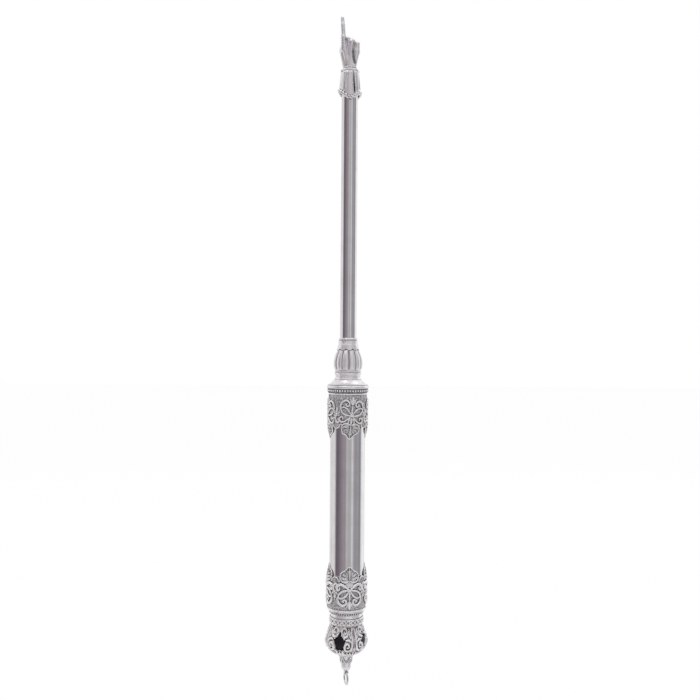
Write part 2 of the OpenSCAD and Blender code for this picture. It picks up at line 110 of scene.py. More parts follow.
class Shape:
    """Vertices and faces of one piece, gathered from several surfaces, in millimetres."""

    def __init__(self):
        self.verts, self.faces, self.count = [], [], 0

    def add(self, verts, faces):
        """Adds one surface's vertices and faces."""
        verts = np.asarray(verts, float).reshape(-1, 3)
        self.faces += [[int(i) + self.count for i in f] for f in faces]
        self.verts.append(verts)
        self.count += len(verts)
        return self

    def grid(self, points, wrap_u=True, wrap_v=False):
        """points[u][v] is a net of points."""
        points = np.asarray(points, float)
        nu, nv = points.shape[:2]
        faces = []
        for i in range(nu if wrap_u else nu - 1):
            for j in range(nv if wrap_v else nv - 1):
                a, b = i * nv + j, i * nv + (j + 1) % nv
                c, d = (i + 1) % nu * nv + (j + 1) % nv, (i + 1) % nu * nv + j
                faces.append((a, b, c, d))
        return self.add(points.reshape(-1, 3), faces)

    def lathe(self, profile, steps=128, wrap=True):
        """Turns a closed outline of (radius, z) points about the axis."""
        a = full_turn(steps)[:, None]
        r, z = np.array(profile, float).T
        net = np.stack([r * np.sin(a), -r * np.cos(a), z + 0 * a], axis=-1)
        return self.grid(net, True, wrap)

    def tube(self, path, radius, sides=8, closed=False):
        """A round wire along a path, with round ends."""
        path = np.asarray(path, float)
        radius = np.broadcast_to(np.asarray(radius, float), (len(path),)).copy()
        if not closed:
            path, radius = rounded_ends(path, radius)
        step = np.roll(path, -1, 0) - np.roll(path, 1, 0)
        if not closed:
            step[0], step[-1] = path[1] - path[0], path[-1] - path[-2]
        step /= np.linalg.norm(step, axis=1)[:, None] + 1e-12
        side = np.cross(step[0], [0.3, 0.5, 0.81])
        rings = []
        around = full_turn(sides)
        for point, along, r in zip(path, step, radius):
            side = side - along * np.dot(side, along)
            side /= np.linalg.norm(side)
            other = np.cross(along, side)
            rings.append(point + r * (np.cos(around)[:, None] * side
                                      + np.sin(around)[:, None] * other))
        self.grid(rings, closed, True)
        if not closed:
            first, last = self.count - len(path) * sides, self.count - sides
            self.faces.append([first + i for i in range(sides)])
            self.faces.append([last + i for i in reversed(range(sides))])
        return self

    def ball(self, centre, radius, rings=8, stretch=(1, 1, 1)):
        """A bead, stretched along its axes."""
        u = full_turn(2 * rings)
        v = np.linspace(0.03, math.pi - 0.03, rings)
        net = [[(math.sin(b) * math.cos(a), math.sin(b) * math.sin(a), math.cos(b)) for b in v]
               for a in u]
        return self.closed_grid(np.array(net) * radius * np.array(stretch) + centre)

    def closed_grid(self, points):
        """A net that wraps in u and is capped at both ends of v."""
        points = np.asarray(points, float)
        nu, nv = points.shape[:2]
        start = self.count
        self.grid(points, True, False)
        self.faces.append([start + i * nv for i in range(nu)])
        self.faces.append([start + i * nv + nv - 1 for i in reversed(range(nu))])
        return self

    def make(self, name, material, replaces=(), slot="cast_silver", body="pointer"):
        """Turns the surfaces into one Blender object that rides on a body."""
        mesh = bpy.data.meshes.new(name)
        mesh.from_pydata((np.concatenate(self.verts) * MM).tolist(), [], self.faces)
        work = bmesh.new()
        work.from_mesh(mesh)
        bmesh.ops.remove_doubles(work, verts=work.verts, dist=1e-7)
        bmesh.ops.recalc_face_normals(work, faces=work.faces)
        work.to_mesh(mesh)
        work.free()
        mesh.validate()
        mesh.shade_smooth()
        piece = bpy.data.objects.new(name, mesh)
        bpy.context.scene.collection.objects.link(piece)
        mesh.materials.append(material)
        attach(piece, body)
        if replaces:
            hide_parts(*replaces)
        return piece


def rounded_ends(path, radius):
    """Adds short steps at both ends of a wire, so that they come out round."""
    turns = np.radians([75, 50, 25])
    start = (path[0] - path[1]) / (np.linalg.norm(path[0] - path[1]) + 1e-12)
    end = (path[-1] - path[-2]) / (np.linalg.norm(path[-1] - path[-2]) + 1e-12)
    head = [path[0] + start * radius[0] * math.sin(t) for t in turns]
    tail = [path[-1] + end * radius[-1] * math.sin(t) for t in turns[::-1]]
    path = np.concatenate([head, path, tail])
    radius = np.concatenate([radius[0] * np.cos(turns), radius, radius[-1] * np.cos(turns[::-1])])
    return path, radius


def curve(points, steps=6):
    """A smooth path through a few points."""
    p = np.asarray(points, float)
    p = np.vstack([2 * p[0] - p[1], p, 2 * p[-1] - p[-2]])
    out = []
    for i in range(1, len(p) - 2):
        for k in range(steps):
            t = k / steps
            out.append(0.5 * (2 * p[i] + (p[i + 1] - p[i - 1]) * t
                              + (2 * p[i - 1] - 5 * p[i] + 4 * p[i + 1] - p[i + 2]) * t * t
                              + (3 * p[i] - p[i - 1] - 3 * p[i + 1] + p[i + 2]) * t ** 3))
    out.append(p[-2])
    return np.array(out)


def swell(n, start, middle, end):
    """Wire radius that swells between its ends."""
    t = np.linspace(0, 1, n)
    return start + (end - start) * t + (middle - (start + end) / 2) * np.sin(math.pi * t)


def mirrored(points):
    """The same flat line on the other side of the middle."""
    return [(-x, y) for x, y in points]


# ---- smooth solids from a field

def soft_min(a, b, blend):
    """Joins two distance fields with a fillet."""
    h = np.clip(0.5 + 0.5 * (b - a) / blend, 0, 1)
    return b + (a - b) * h - blend * h * (1 - h)


def limb(grid, start, end, r_start, r_end, flat=1.0):
    """Distance to a tapered limb. flat squeezes its depth along Y."""
    x, y, z = grid
    a, b = np.array(start, np.float32), np.array(end, np.float32)
    d = b - a
    px, py, pz = x - a[0], (y - a[1]) / flat, z - a[2]
    dy = d[1] / flat
    t = np.clip((px * d[0] + py * dy + pz * d[2]) / (d[0] ** 2 + dy ** 2 + d[2] ** 2 + 1e-9), 0, 1)
    gap = np.sqrt((px - t * d[0]) ** 2 + (py - t * dy) ** 2 + (pz - t * d[2]) ** 2)
    return gap - (r_start + t * (r_end - r_start))


def field_grid(corner, far, step):
    """Sample positions of a box, as three open axes."""
    axes = [np.arange(a, b, step, dtype=np.float32) for a, b in zip(corner, far)]
    return np.meshgrid(*axes, indexing="ij", sparse=True)


def surface_of(field, corner, step, wrap=False):
    """Vertices and quads where a field crosses zero, one vertex in each crossed cell.

    With wrap, the first axis goes round and its last sample repeats the first."""
    inside = field < 0
    n = np.array(field.shape) - 1
    corners = [(i, j, k) for i in (0, 1) for j in (0, 1) for k in (0, 1)]
    total = sum(inside[i:n[0] + i, j:n[1] + j, k:n[2] + k].astype(np.int8) for i, j, k in corners)
    crossed = (total > 0) & (total < 8)
    cells = np.argwhere(crossed)
    index = np.full(crossed.shape, -1)
    index[crossed] = np.arange(len(cells))
    place, hits = np.zeros((len(cells), 3)), np.zeros(len(cells))
    for axis in range(3):
        for a in (c for c in corners if c[axis] == 0):
            b = list(a)
            b[axis] = 1
            fa, fb = field[tuple((cells + a).T)], field[tuple((cells + b).T)]
            cross = (fa < 0) != (fb < 0)
            point = np.tile(np.array(a, float), (len(cells), 1))
            point[:, axis] += np.where(cross, fa / np.where(cross, fa - fb, 1), 0)
            place[cross] += point[cross]
            hits += cross
    verts = np.array(corner) + step * (cells + place / hits[:, None])
    faces = []
    for axis in range(3):
        u, v = (axis + 1) % 3, (axis + 2) % 3
        a = [slice(None)] * 3
        b = [slice(None)] * 3
        a[axis], b[axis] = slice(0, -1), slice(1, None)
        edge = np.argwhere(inside[tuple(a)] != inside[tuple(b)])
        for side in (u, v):
            first = 0 if wrap and side == 0 else 1
            edge = edge[(edge[:, side] >= first) & (edge[:, side] < n[side])]
        shift = np.zeros((4, 3), int)
        shift[1, u] = shift[2, u] = shift[2, v] = shift[3, v] = -1
        around = [edge + s for s in shift]
        if wrap:
            for c in around:
                c[:, 0] %= n[0]
        faces.append(np.stack([index[tuple(c.T)] for c in around], axis=1))
    return verts, np.concatenate(faces)


# ---- materials

class Nodes:
    """Short names for building a node tree."""

    def __init__(self, tree):
        self.tree = tree
        tree.nodes.clear()

    def add(self, kind, settings=None, **inputs):
        """One shader node. An input is named, or i and its number."""
        node = self.tree.nodes.new("ShaderNode" + kind)
        for key, value in (settings or {}).items():
            setattr(node, key, value)
        for key, value in inputs.items():
            socket = node.inputs[int(key[1:])] if key[0] == "i" and key[1:].isdigit() \
                else node.inputs[key.replace("_", " ")]
            if isinstance(value, bpy.types.NodeSocket):
                self.tree.links.new(value, socket)
            else:
                socket.default_value = value
        return node

    def maths(self, operation, *values):
        """Result of a Math node."""
        inputs = {"i%d" % k: value for k, value in enumerate(values)}
        return self.add("Math", {"operation": operation}, **inputs).outputs[0]

    def mix(self, factor, first, second):
        """Colour between two colours."""
        return self.add("Mix", {"data_type": "RGBA"}, i0=factor, i6=first, i7=second).outputs[2]

    def ramp(self, factor, stops, ease="LINEAR"):
        """Colour ramp with (place, grey or colour) stops."""
        node = self.add("ValToRGB", i0=factor)
        ramp = node.color_ramp
        ramp.interpolation = ease
        while len(ramp.elements) < len(stops):
            ramp.elements.new(0.5)
        for element, (place, value) in zip(ramp.elements, stops):
            element.position = place
            element.color = (*value, 1) if hasattr(value, "__len__") else (value, value, value, 1)
        return node.outputs[0]


def tone(*grey):
    """Display grey or colour, 0 to 255, as a linear value."""
    out = [((g / 255 + 0.055) / 1.055) ** 2.4 if g > 10 else g / 255 / 12.92 for g in grey]
    return out[0] if len(out) == 1 else tuple(out)


def metal(name, colour, rough, tarnish_and_shade=0.5, tarnish_and_shade_reach=0.0007, grain=0.0, grain_size=3500.0, wave=0.02,
          shine=1.0, mottle=0.16):
    """Silver or brass: tarnish and painted shade in the recesses, faint clouding, fine scratches and an
    optional grain.
    """
    material = bpy.data.materials.new(name)
    material.use_nodes = True
    n = Nodes(material.node_tree)
    place = n.add("TexCoord").outputs["Object"]
    cloud = n.add("TexNoise", i2=180.0, i3=4.0, Vector=place).outputs[0]
    fine = n.add("TexNoise", i2=1400.0, i3=3.0, Vector=place).outputs[0]
    # Colour of the tarnish and of the painted shade in recesses.
    dark = tuple(c * f for c, f in zip(colour, (0.17, 0.155, 0.165)))
    warm = tuple(c * f for c, f in zip(colour, (0.93, 0.90, 0.88)))
    clouding = n.mix(n.ramp(cloud, [(0.42, 0.0), (0.7, 0.8)]), (*colour, 1), (*warm, 1))
    # Ambient occlusion darkens the base colour in recesses, creases and around raised work: partly tarnish,
    # partly painted shade.
    hollow = n.add("AmbientOcclusion", {"samples": 24}, Distance=tarnish_and_shade_reach).outputs["AO"]
    tarnish_and_shade_mask = n.ramp(n.maths("MULTIPLY_ADD", fine, mottle, hollow),
                   [(0.48, tarnish_and_shade), (0.98 if mottle > 0.1 else 0.90, 0.0)])
    if grain:
        # Gaps between the grains are darkened in the base colour: painted shade between the grains.
        cells = n.add("TexVoronoi", Vector=place, Scale=grain_size).outputs["Distance"]
        gaps = n.ramp(cells, [(0.30, 0.0), (0.70, 0.62)])
        tarnish_and_shade_mask = n.maths("MAXIMUM", tarnish_and_shade_mask, gaps)
    shade = n.mix(tarnish_and_shade_mask, clouding, (*dark, 1))
    dull = n.maths("MULTIPLY_ADD", tarnish_and_shade_mask, 0.6, n.maths("MULTIPLY", cloud, 0.5))
    roughness = n.ramp(dull, [(0.1, rough * 0.75), (0.9, min(1, rough * 1.9 + 0.1))])
    height = n.add("Bump", i0=wave, Distance=0.0002, Height=fine).outputs[0]
    if grain:
        height = n.add("Bump", {"invert": True}, i0=grain, Distance=0.0002, Height=cells,
                       Normal=height).outputs[0]
    shader = n.add("BsdfPrincipled", Metallic=shine, Roughness=roughness, Normal=height)
    n.tree.links.new(shade, shader.inputs["Base Color"])
    n.add("OutputMaterial", Surface=shader.outputs[0])
    return material


SILVER = (0.90, 0.885, 0.88)
POLISHED = metal("polished_silver", SILVER, 0.13, tarnish_and_shade=0.25, wave=0.012)
TUBE = metal("handle_silver", SILVER, 0.15, tarnish_and_shade=0.1, wave=0.02)
CAST = metal("cast_silver", (0.97, 0.96, 0.96), 0.26, tarnish_and_shade=1.0, tarnish_and_shade_reach=0.0006, wave=0.03, shine=0.62)
SATIN = metal("satin_silver", (0.97, 0.955, 0.955), 0.34, tarnish_and_shade=1.0, tarnish_and_shade_reach=0.0008, wave=0.02, shine=0.82,
              mottle=0.03)
# Wide occlusion reach: broad painted shade over the hollows of the hand, frills, sleeve and rope.
SMOOTH = metal("soft_silver", (0.95, 0.935, 0.94), 0.30, tarnish_and_shade=1.0, tarnish_and_shade_reach=0.0010, wave=0.0, shine=0.86,
               mottle=0.0)
ORNAMENT = metal("ornament_silver", (0.98, 0.97, 0.965), 0.26, tarnish_and_shade=1.0, tarnish_and_shade_reach=0.0006,
                 wave=0.04, shine=0.62)
UPPER_WORK = metal("worn_ornament_silver", (0.94, 0.93, 0.925), 0.32, tarnish_and_shade=1.0, tarnish_and_shade_reach=0.0006, wave=0.06,
                   shine=0.66)
GRAINED = metal("granulated_silver", (0.80, 0.795, 0.80), 0.40, tarnish_and_shade=1.0, tarnish_and_shade_reach=0.0009, grain=0.9,
                grain_size=1800.0, wave=0.3, shine=0.7, mottle=0.3)
BRASS = metal("inner_brass", (0.80, 0.62, 0.32), 0.30, tarnish_and_shade=0.5, wave=0.08)
# Near-black core: a dark lining, and painted shade seen through the crown's windows.
DARK = metal("dark_core", (0.05, 0.047, 0.055), 0.62, tarnish_and_shade=0.4, wave=0.3)


# ---- shapes shared by the pieces

def round_place(angle, radius, z):
    """A point at an angle from the front, positive toward +X."""
    return np.stack([radius * np.sin(angle), -radius * np.cos(angle), z + 0 * angle], axis=-1)


def shell(outer, inner):
    """A closed wall between an outer and an inner net of points."""
    return Shape().grid(np.concatenate([outer, inner[:, ::-1]], axis=1), True, True)


def tab_taper(y):
    """How far the hanging tabs lean in towards the tube."""
    return 0.66 * np.clip((-3.2 - y) / 4.4, 0, 1) ** 1.2


class Wall:
    """Places a flat drawing on a round wall: x runs around, y up from the knot, out is the radius."""

    def __init__(self, turn, z, up=1, lean=0.0, radius=None):
        self.turn, self.z, self.up, self.lean = turn, z, up, lean
        self.radius = radius or COLLAR_R

    def at(self, xy, out):
        """Points of the drawing, in space."""
        xy = np.asarray(xy, float)
        c, s = math.cos(self.lean), math.sin(self.lean)
        x, y = xy[..., 0] * c + xy[..., 1] * s, xy[..., 1] * c - xy[..., 0] * s
        return round_place(self.turn + x / self.radius, out - tab_taper(y), self.z + self.up * y)

    def wire(self, shape, points, radius, out=None, steps=6):
        """A wire along a flat line. radius is a number, or start, middle and end."""
        flat = curve(points, steps)
        if isinstance(radius, tuple):
            radius = swell(len(flat), *radius)
        out = COLLAR_R + 0.28 if out is None else out
        shape.tube(self.at(flat, out), radius)

    def leaf(self, shape, points, width, height, out=None, steps=5, across=9, vein=0.35):
        """A pointed leaf along a path, domed, with a groove down its middle."""
        flat = curve(points, steps)
        along = np.gradient(flat, axis=0)
        along /= np.linalg.norm(along, axis=1)[:, None] + 1e-12
        side = np.stack([-along[:, 1], along[:, 0]], axis=1)
        t = np.linspace(0, 1, len(flat))
        half = width * np.sin(math.pi * t ** 0.8) ** 0.75 + 0.04
        s = np.linspace(-1, 1, across)
        out = COLLAR_R if out is None else out
        dome = (1 - s ** 2) ** 0.5 * (1 - vein * np.exp(-(s / 0.28) ** 2))
        xy = flat[:, None, :] + side[:, None, :] * (half[:, None] * s)[..., None]
        lift = height * (0.35 + 0.65 * np.sin(math.pi * t ** 0.7))[:, None] * dome
        top, foot = self.at(xy, out + lift), self.at(xy, np.full(lift.shape, out - 0.12))
        ring = np.concatenate([top, foot[:, ::-1]], axis=1)
        start = shape.count
        shape.grid(ring, False, True)
        m = ring.shape[1]
        shape.faces.append([start + i for i in range(m)])
        shape.faces.append([shape.count - m + i for i in reversed(range(m))])


# ---- hand

GROOVES = (
    (((1.95, -1.8, 10.4), (1.35, -1.7, 8.0), (1.05, -1.6, 5.8), (1.3, -1.55, 3.8), (1.95, -1.4, 1.4)), 0.38),
    (((-1.6, -1.85, 10.8), (-1.15, -1.95, 7.6), (-0.8, -2.15, 4.6), (-0.6, -2.7, 1.2)), 0.42),
    (((0.1, -1.75, 12.1), (0.1, -2.0, 10.4)), 0.20),
    (((-3.5, -0.5, 9.8), (-4.15, -0.6, 7.8)), 0.24),
)


def pointing_hand():
    """A right fist seen from its back, with the index finger straight up."""
    step = 0.1
    corner, far = (-5.0, -3.2, -0.6), (5.0, 4.6, 21.0)
    grid = field_grid(corner, far, step)
    palm = limb(grid, (0.0, 0.1, -0.6), (0.0, 0.0, 1.6), 2.5, 2.35, 0.86)
    palm = soft_min(palm, limb(grid, (-0.2, 0.2, 1.6), (-0.6, 0.3, 7.4), 2.4, 2.75, 0.72), 1.2)
    palm = soft_min(palm, limb(grid, (0.5, 0.3, 2.2), (1.3, 0.4, 7.2), 2.0, 1.8, 0.8), 1.2)
    for px, top in ((-0.8, 11.1), (1.0, 10.2), (2.85, 9.1)):
        finger = limb(grid, (px, -0.9, top), (px, 1.9, top + 0.3), 1.0, 0.93)
        bend = limb(grid, (px, 2.1, top + 0.2), (px - 0.1, 2.5, top - 3.1), 0.93, 0.86)
        tip = limb(grid, (px - 0.1, 2.3, top - 3.3), (px - 0.2, 0.9, top - 3.9), 0.84, 0.72)
        finger = soft_min(soft_min(finger, bend, 0.25), tip, 0.3)
        palm = soft_min(palm, finger, 0.3)
    for start, end, r0, r1, blend in (((-0.8, -0.7, 10.9), (-0.3, -0.9, 2.0), 0.95, 0.8, 0.8),
                                      ((0.7, -1.2, 10.0), (0.5, -1.25, 3.0), 0.98, 0.75, 0.7),
                                      ((2.85, -0.75, 9.0), (2.7, -0.7, 6.0), 1.05, 1.25, 0.5),
                                      ((2.7, -0.7, 6.0), (1.75, -0.6, 0.8), 1.25, 0.95, 0.5)):
        palm = soft_min(palm, limb(grid, start, end, r0, r1), blend)
    index = limb(grid, (-2.6, -0.9, 7.0), (-2.65, -0.95, 12.4), 1.15, 0.98)
    index = soft_min(index, limb(grid, (-2.65, -0.95, 12.4), (-2.88, -0.8, 16.6), 0.98, 0.86), 0.3)
    index = soft_min(index, limb(grid, (-2.88, -0.8, 16.6), (-3.08, -0.65, 19.4), 0.86, 0.74), 0.3)
    index = soft_min(index, limb(grid, (-1.15, -1.15, 1.2), (-2.6, -1.2, 11.4), 0.72, 1.0), 0.6)
    palm = soft_min(palm, index, 0.35)
    side = limb(grid, (-1.9, 0.2, 1.0), (-2.95, 0.35, 6.8), 1.15, 1.38)
    palm = soft_min(palm, side, 0.9)
    thumb = limb(grid, (-3.0, 1.0, 6.6), (-2.85, 2.2, 8.9), 1.3, 0.95)
    thumb = soft_min(thumb, limb(grid, (-2.85, 2.2, 8.9), (-2.0, 3.2, 9.0), 0.95, 0.85), 0.4)
    thumb = soft_min(thumb, limb(grid, (-2.0, 3.2, 9.0), (-0.2, 3.5, 8.7), 0.85, 0.72), 0.3)
    palm = soft_min(palm, thumb, 0.5)
    for path, size in GROOVES:
        for start, end in zip(path, path[1:]):
            palm = -soft_min(-palm, limb(grid, start, end, size, size), 0.3)
    nail = limb(grid, (-3.02, -1.58, 17.9), (-3.08, -1.48, 19.0), 0.30, 0.28)
    palm = -soft_min(-palm, nail, 0.12)
    palm = np.maximum(palm, -0.45 - grid[2])
    verts, faces = surface_of(palm, corner, step)
    piece = Shape().add(verts + (0, 0, WRIST_Z), faces)
    piece.add(*post(CUFF_TOP - 4.9, WRIST_Z + 0.5, 1.2))
    piece = piece.make("hand", SMOOTH, ["pointing_hand"])
    smooth(piece, 0.5, 8)
    return piece


def post(z0, z1, radius, steps=32):
    """A plain round peg, hidden inside its neighbours."""
    s = Shape().lathe([(0.01, z0), (radius, z0), (radius, z1), (0.01, z1)], steps)
    return s.verts[0], s.faces


def smooth(piece, factor, times):
    """Evens out a meshed field."""
    change = piece.modifiers.new("smooth", "SMOOTH")
    change.factor, change.iterations = factor, times


# ---- frills, sleeve and its rope

def ruffle(name, z0, z1, radius, folds, depth, turn):
    """A gathered ring: its folds are deepest at mid height."""
    shape = Shape()
    a = full_turn(folds * 16)[:, None]
    t = full_turn(24)[None, :]
    bulge = np.cos(t)
    rise = np.sin(t)
    r = radius - 0.55 + 0.55 * np.sign(bulge) * np.abs(bulge) ** 0.8
    fold = depth * np.cos(folds * (a - turn) + 0.5 * rise) * np.clip(bulge, 0, 1)
    fold += 0.3 * depth * np.cos(2 * folds * (a + turn)) * np.clip(bulge, 0, 1)
    z = (z0 + z1) / 2 + (z1 - z0) / 2 * rise
    r = np.where(bulge < 0, radius - 0.55 + (radius - 1.6) * bulge * 0.75, r)
    shape.grid(round_place(a + 0 * t, np.maximum(r + fold - depth * 0.6, 0.9), z + 0 * a), True, True)
    return shape.make(name, SMOOTH, [name])


HEM_R, HEM_DIP, HEM_TILT = 4.33, 2.9, math.radians(7)
HEM_Z = CUFF_TOP - 6.95
HEM_CUT = (HEM_R ** 2 + HEM_DIP ** 2) / (2 * HEM_DIP)


def hem_at(x, y):
    """Height of the sleeve's hem, which dips at the front and back and tilts."""
    return HEM_Z - x * math.tan(HEM_TILT) \
        - (HEM_CUT - np.sqrt(np.maximum(HEM_CUT ** 2 - y ** 2, 0))) / math.cos(HEM_TILT)


PLEATS = (  # angle, width and depth
    (-1.02, 0.06, 0.14), (-0.56, 0.06, 0.42), (0.445, 0.06, 0.90), (0.80, 0.05, 0.42), (1.25, 0.08, 0.34),
    (1.80, 0.10, 0.50), (2.45, 0.08, 0.40), (3.05, 0.10, 0.55), (3.60, 0.08, 0.36), (4.15, 0.10, 0.50),
    (4.70, 0.08, 0.30),
)


def sleeve_cuff():
    """Pleated sleeve with a saddle-shaped hem."""
    a = full_turn(288)[:, None]
    t = np.linspace(0, 1, 44)[None, :]
    x, y = HEM_R * np.sin(a), -HEM_R * np.cos(a)
    end = hem_at(x, y)
    flare = 3.60 + 0.62 * t ** 0.9
    pleat = np.zeros_like(a * t)
    for place, wide, deep in PLEATS:
        sway = place + 0.10 * (t - 0.5) * math.sin(5 * place)
        off = (a - sway + math.pi) % TAU - math.pi
        pleat -= deep * np.exp(-(off / wide) ** 2)
        pleat += 0.45 * deep * np.exp(-((np.abs(off) - 2.1 * wide) / wide) ** 2)
    r = flare + pleat * (0.25 + 0.75 * t) * np.clip(6 * (1 - t), 0.15, 1) * 0.9
    r = np.clip(r, 3.36, HEM_R + 0.02)
    r[:, :4] *= np.array([0.90, 0.95, 0.98, 0.995])
    z = CUFF_TOP + 0.3 + (end - CUFF_TOP - 0.3) * t
    outer = round_place(a + 0 * t, r, z)
    inner = round_place(a + 0 * t, np.full(r.shape, 3.28), z)
    crown = round_place(a + 0 * t[:, :1], np.full((288, 1), 1.32), z[:, :1] + 0 * a)
    under = round_place(a + 0 * t[:, :1], np.full((288, 1), 1.32), z[:, :1] - 0.45 + 0 * a)
    inner[:, :2] = round_place(a + 0 * t[:, :2], 3.28 + 0 * a + 0 * t[:, :2], z[:, :1] - 0.45 + 0 * t[:, :2])
    ring = np.concatenate([crown, outer, inner[:, ::-1], under], axis=1)
    shape = Shape().grid(ring, True, True)
    return shape.make("sleeve", SMOOTH, ["sleeve_cuff"])


def hem_rope():
    """Two wires laid up into a rope that follows the hem."""
    shape = Shape()
    count, twists = 420, 11
    a = full_turn(count)
    x, y = HEM_R * np.sin(a), -HEM_R * np.cos(a)
    centre = round_place(a, 4.16, 0 * a)
    centre[:, 2] = hem_at(x, y) - 0.72
    along = np.roll(centre, -1, 0) - np.roll(centre, 1, 0)
    along /= np.linalg.norm(along, axis=1)[:, None]
    out = round_place(a, 1.0, 0 * a)
    up = np.cross(along, out)
    for k in range(2):
        turn = a * twists + k * math.pi
        path = centre + 0.32 * (np.cos(turn)[:, None] * out + np.sin(turn)[:, None] * up)
        shape.tube(path, 0.46, 10, True)
    return shape.make("rope", SMOOTH, ["hem_rope"])


# ---- calyx, bulb and bead rings

def calyx():
    """Cup that holds the shaft's foot, with a hem of round petals laid over the bulb."""
    z0, z1 = low("calyx_cup")[2], high("calyx_cup")[2]
    petals = 10
    a = full_turn(petals * 24)[:, None]
    t = np.linspace(0, 1, 26)[None, :]
    ridge = np.abs(np.cos(petals * (a - 0.12) / 2))
    r = 3.70 + 0.74 * (1 - t) ** 1.5 - 0.14 * np.exp(-((t - 0.66) / 0.07) ** 2) + 0.10 * (t > 0.75)
    r = r + (0.10 * ridge ** 0.6 - 0.16 * (1 - ridge) ** 2) * np.clip(1 - t * 1.5, 0, 1) ** 0.5
    bottom = z0 + 0.45 - 0.85 * ridge ** 0.6
    z = bottom + (z1 - 0.02 - bottom) * t
    outer = round_place(a + 0 * t, r, z)
    inner = round_place(a + 0 * t, np.where(t < 0.2, r - 0.35, SHAFT_R + 0.04), z)
    shape = shell(outer, inner)
    return shape.make("calyx", SATIN, ["calyx_cup"])


def bulb():
    """Round bulb with twelve lobes and a thin collar above and below."""
    z0, z1 = low("gadrooned_bulb")[2], high("gadrooned_bulb")[2]
    lobes, big = 12, reach("gadrooned_bulb") + 0.12
    a = full_turn(lobes * 20)[:, None]
    t = np.linspace(0, 1, 44)[None, :]
    belly, foot, top = 0.36, 5.0, 4.1
    r = np.where(t < belly, big - (big - foot) * ((belly - t) / belly) ** 2,
                 big - (big - top) * (np.clip(t - belly, 0, 1) / (1 - belly)) ** 2)
    fade = np.clip((t - 0.10) / 0.06, 0, 1) ** 0.5 * np.clip((0.97 - t) / 0.08, 0, 1)
    wave = np.abs(np.sin(lobes * (a - 0.07) / 2))
    r = r - fade * (0.62 * (1 - wave) ** 3 + 0.18 * (1 - wave))
    r = r - 0.34 * np.exp(-((t - 0.10) / 0.018) ** 2)
    z = z0 + (z1 - z0) * t
    outer = round_place(a + 0 * t, r, z + 0 * a)
    inner = round_place(a + 0 * t, np.full((len(a), 44), 2.78), z + 0 * a)
    shape = shell(outer, inner)
    return shape.make("bulb", SATIN, ["gadrooned_bulb"])


def neck():
    """Turned collar: a round moulding, a fine groove and the start of the flare."""
    z0, z1, hole = low("neck_collar")[2], high("neck_collar")[2], reach("shaft_ferrule") + 0.05
    outline = [(hole, z1), (4.9, z1), (5.18, z1 - 0.1), (5.36, z1 - 0.35), (5.4, z1 - 0.6), (5.34, z1 - 0.9),
               (5.14, z1 - 1.15), (4.98, z1 - 1.25), (4.92, z1 - 1.45), (4.84, z1 - 1.6), (4.84, z1 - 1.72),
               (4.96, z1 - 1.8), (5.0, z1 - 2.05), (5.08, z1 - 2.35), (5.22, z1 - 2.65), (5.5, z0),
               (hole, z0)]
    return Shape().lathe(outline).make("neck", SATIN, ["neck_collar"])


def cap():
    """Thin cap that sweeps out from the neck to the rim."""
    z0, z1, hole = low("flared_cap")[2], high("flared_cap")[2], reach("shaft_ferrule") + 0.05
    edge = reach("flared_cap")
    t = np.linspace(0, 1, 14)
    sweep = list(zip(5.5 + (edge - 5.5) * t, z1 - (z1 - z0 - 0.3) * np.sin(t * math.pi / 2) ** 0.9))
    outline = [(hole, z1)] + sweep + [(edge, z0), (edge - 0.7, z0), (4.9, z1 - 0.9), (hole, z1 - 0.9)]
    return Shape().lathe(outline).make("cap", SATIN, ["flared_cap"])


def bead_ring(name, node, count, radius, size):
    """Real beads soldered side by side on a flat ring."""
    z0, z1 = low(node)[2], high(node)[2]
    mid = (z0 + z1) / 2
    seat = radius - 0.62 * size
    hole, lip = radius - 1.6, seat + 0.3
    Shape().lathe([(hole, z0), (lip, z0), (lip, z0 + 0.1), (seat, z0 + 0.2), (seat, z1 - 0.2),
                   (lip, z1 - 0.1), (lip, z1), (hole, z1)], 96) \
        .make(name + "_seat", GRAINED, [node])
    shape = Shape()
    for k in range(count):
        wobble = RNG.normal(0, 0.02, 3)
        shape.ball(round_place(np.array(TAU * k / count), radius - size * 0.5, mid) + wobble, size * 0.5, 7)
    return shape.make(name, CAST)


# ---- collars and their ornaments

LOBE_X, LOBE_Y, LOBE_R, TIP_Y = 1.85, -5.3, 2.05, -9.2
TIP_SLOPE = 1.1
MID_R = 1.7


def hem_of_collar(x):
    """Lower edge of the collar's sheet under one knot, by distance around from it."""
    x = np.abs(x)
    quarter = math.pi / 4 * COLLAR_R
    edge = np.full(x.shape, KNOT_DROP - SHEET_H)
    inside = np.clip(LOBE_R ** 2 - (x - LOBE_X) ** 2, 0, None)
    edge = np.where(x < LOBE_X + LOBE_R, np.minimum(edge, LOBE_Y - np.sqrt(inside)), edge)
    tip = TIP_Y + TIP_SLOPE * np.hypot(x, 0.35) - 0.28
    edge = np.where(x < LOBE_X + 0.6 * LOBE_R, np.minimum(edge, tip), edge)
    middle = np.clip(MID_R ** 2 - (quarter - x) ** 2, 0, None)
    return np.where(quarter - x < MID_R, KNOT_DROP - SHEET_H - np.sqrt(middle), edge)


